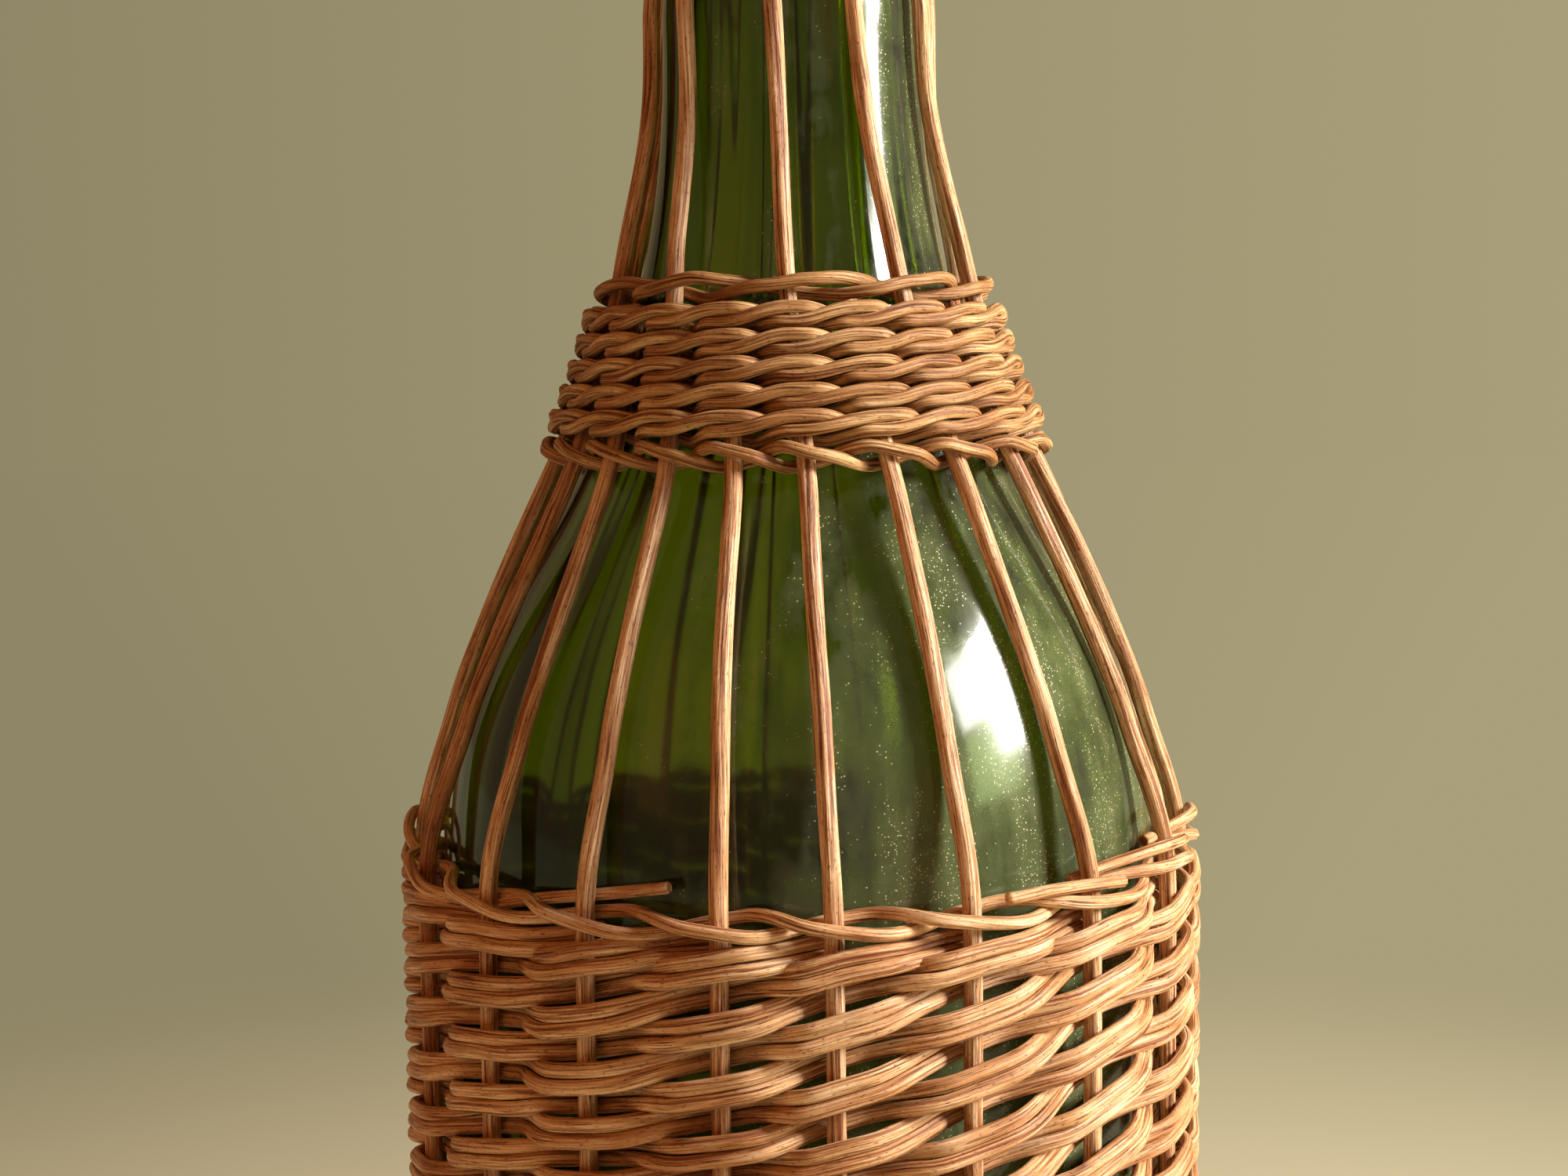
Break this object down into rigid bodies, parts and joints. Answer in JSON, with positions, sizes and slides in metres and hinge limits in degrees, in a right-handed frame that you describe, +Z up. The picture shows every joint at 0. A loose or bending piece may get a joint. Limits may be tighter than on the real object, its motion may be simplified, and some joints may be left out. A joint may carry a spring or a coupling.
{
  "type": "wicker-covered bottle",
  "caption": "Tall round-shouldered glass bottle in an open woven cane cover, with upright canes running up the neck to a collar and a tapered cork that pulls straight out.",
  "frame": {"origin": "centre of the underside of the woven base mat, on the plane that the bottle stands on", "axes": "+Z up along the bottle's axis; -Y is the front that the picture shows; +X to its right"},
  "size_m": [0.1391, 0.1389, 0.397],
  "materials": {
    "glass": "smooth bottle-green glass, a little dusty",
    "stake_cane": "peeled round cane, satin, honey to orange brown",
    "weaver_cane": "peeled round cane, satin, honey",
    "wale_cane": "peeled round cane, satin, honey to orange brown",
    "base_cane": "peeled round cane, dull with wear",
    "cork": "natural bark cork, matte"
  },
  "bodies": {
    "bottle": {"band_pairing_1": "wale_cane", "band_pairing_7": "wale_cane", "band_wale_2": "wale_cane", "band_wale_3": "wale_cane", "band_wale_4": "wale_cane", "band_wale_5": "wale_cane", "band_wale_6": "wale_cane", "base_sticks_lower": "base_cane", "base_sticks_upper": "base_cane", "base_weave": "base_cane", "collar_pairing_1": "wale_cane", "collar_pairing_2": "wale_cane", "collar_pairing_3": "wale_cane", "glass_bottle": "glass", "long_stake_01": "stake_cane", "long_stake_02": "stake_cane", "long_stake_03": "stake_cane", "long_stake_04": "stake_cane", "long_stake_05": "stake_cane", "long_stake_06": "stake_cane", "long_stake_07": "stake_cane", "long_stake_08": "stake_cane", "long_stake_09": "stake_cane", "long_stake_10": "stake_cane", "rim_pairing": "wale_cane", "short_stake_01": "stake_cane", "short_stake_02": "stake_cane", "short_stake_03": "stake_cane", "short_stake_04": "stake_cane", "short_stake_05": "stake_cane", "short_stake_06": "stake_cane", "short_stake_07": "stake_cane", "short_stake_08": "stake_cane", "short_stake_09": "stake_cane", "short_stake_10": "stake_cane", "upsett_wale_1": "wale_cane", "upsett_wale_2": "wale_cane", "upsett_wale_3": "wale_cane", "weaver_pair_01": "weaver_cane", "weaver_pair_02": "weaver_cane", "weaver_pair_03": "weaver_cane", "weaver_pair_04": "weaver_cane", "weaver_pair_05": "weaver_cane", "weaver_pair_06": "weaver_cane", "weaver_pair_07": "weaver_cane", "weaver_pair_08": "weaver_cane", "weaver_pair_09": "weaver_cane", "weaver_pair_10": "weaver_cane", "weaver_pair_11": "weaver_cane", "weaver_pair_12": "weaver_cane", "weaver_pair_13": "weaver_cane", "weaver_pair_14": "weaver_cane", "weaver_pair_15": "weaver_cane", "weaver_pair_16": "weaver_cane", "weaver_pair_17": "weaver_cane", "weaver_pair_18": "weaver_cane", "weaver_pair_19": "weaver_cane", "weaver_pair_20": "weaver_cane"},
    "cork": {"cork_stopper": "cork"}
  },
  "joints": [
    {"name": "cork_pull", "type": "slide", "parent": "bottle", "child": "cork", "axis": [0, 0, 1], "range_m": [0, 0.035]}
  ]
}
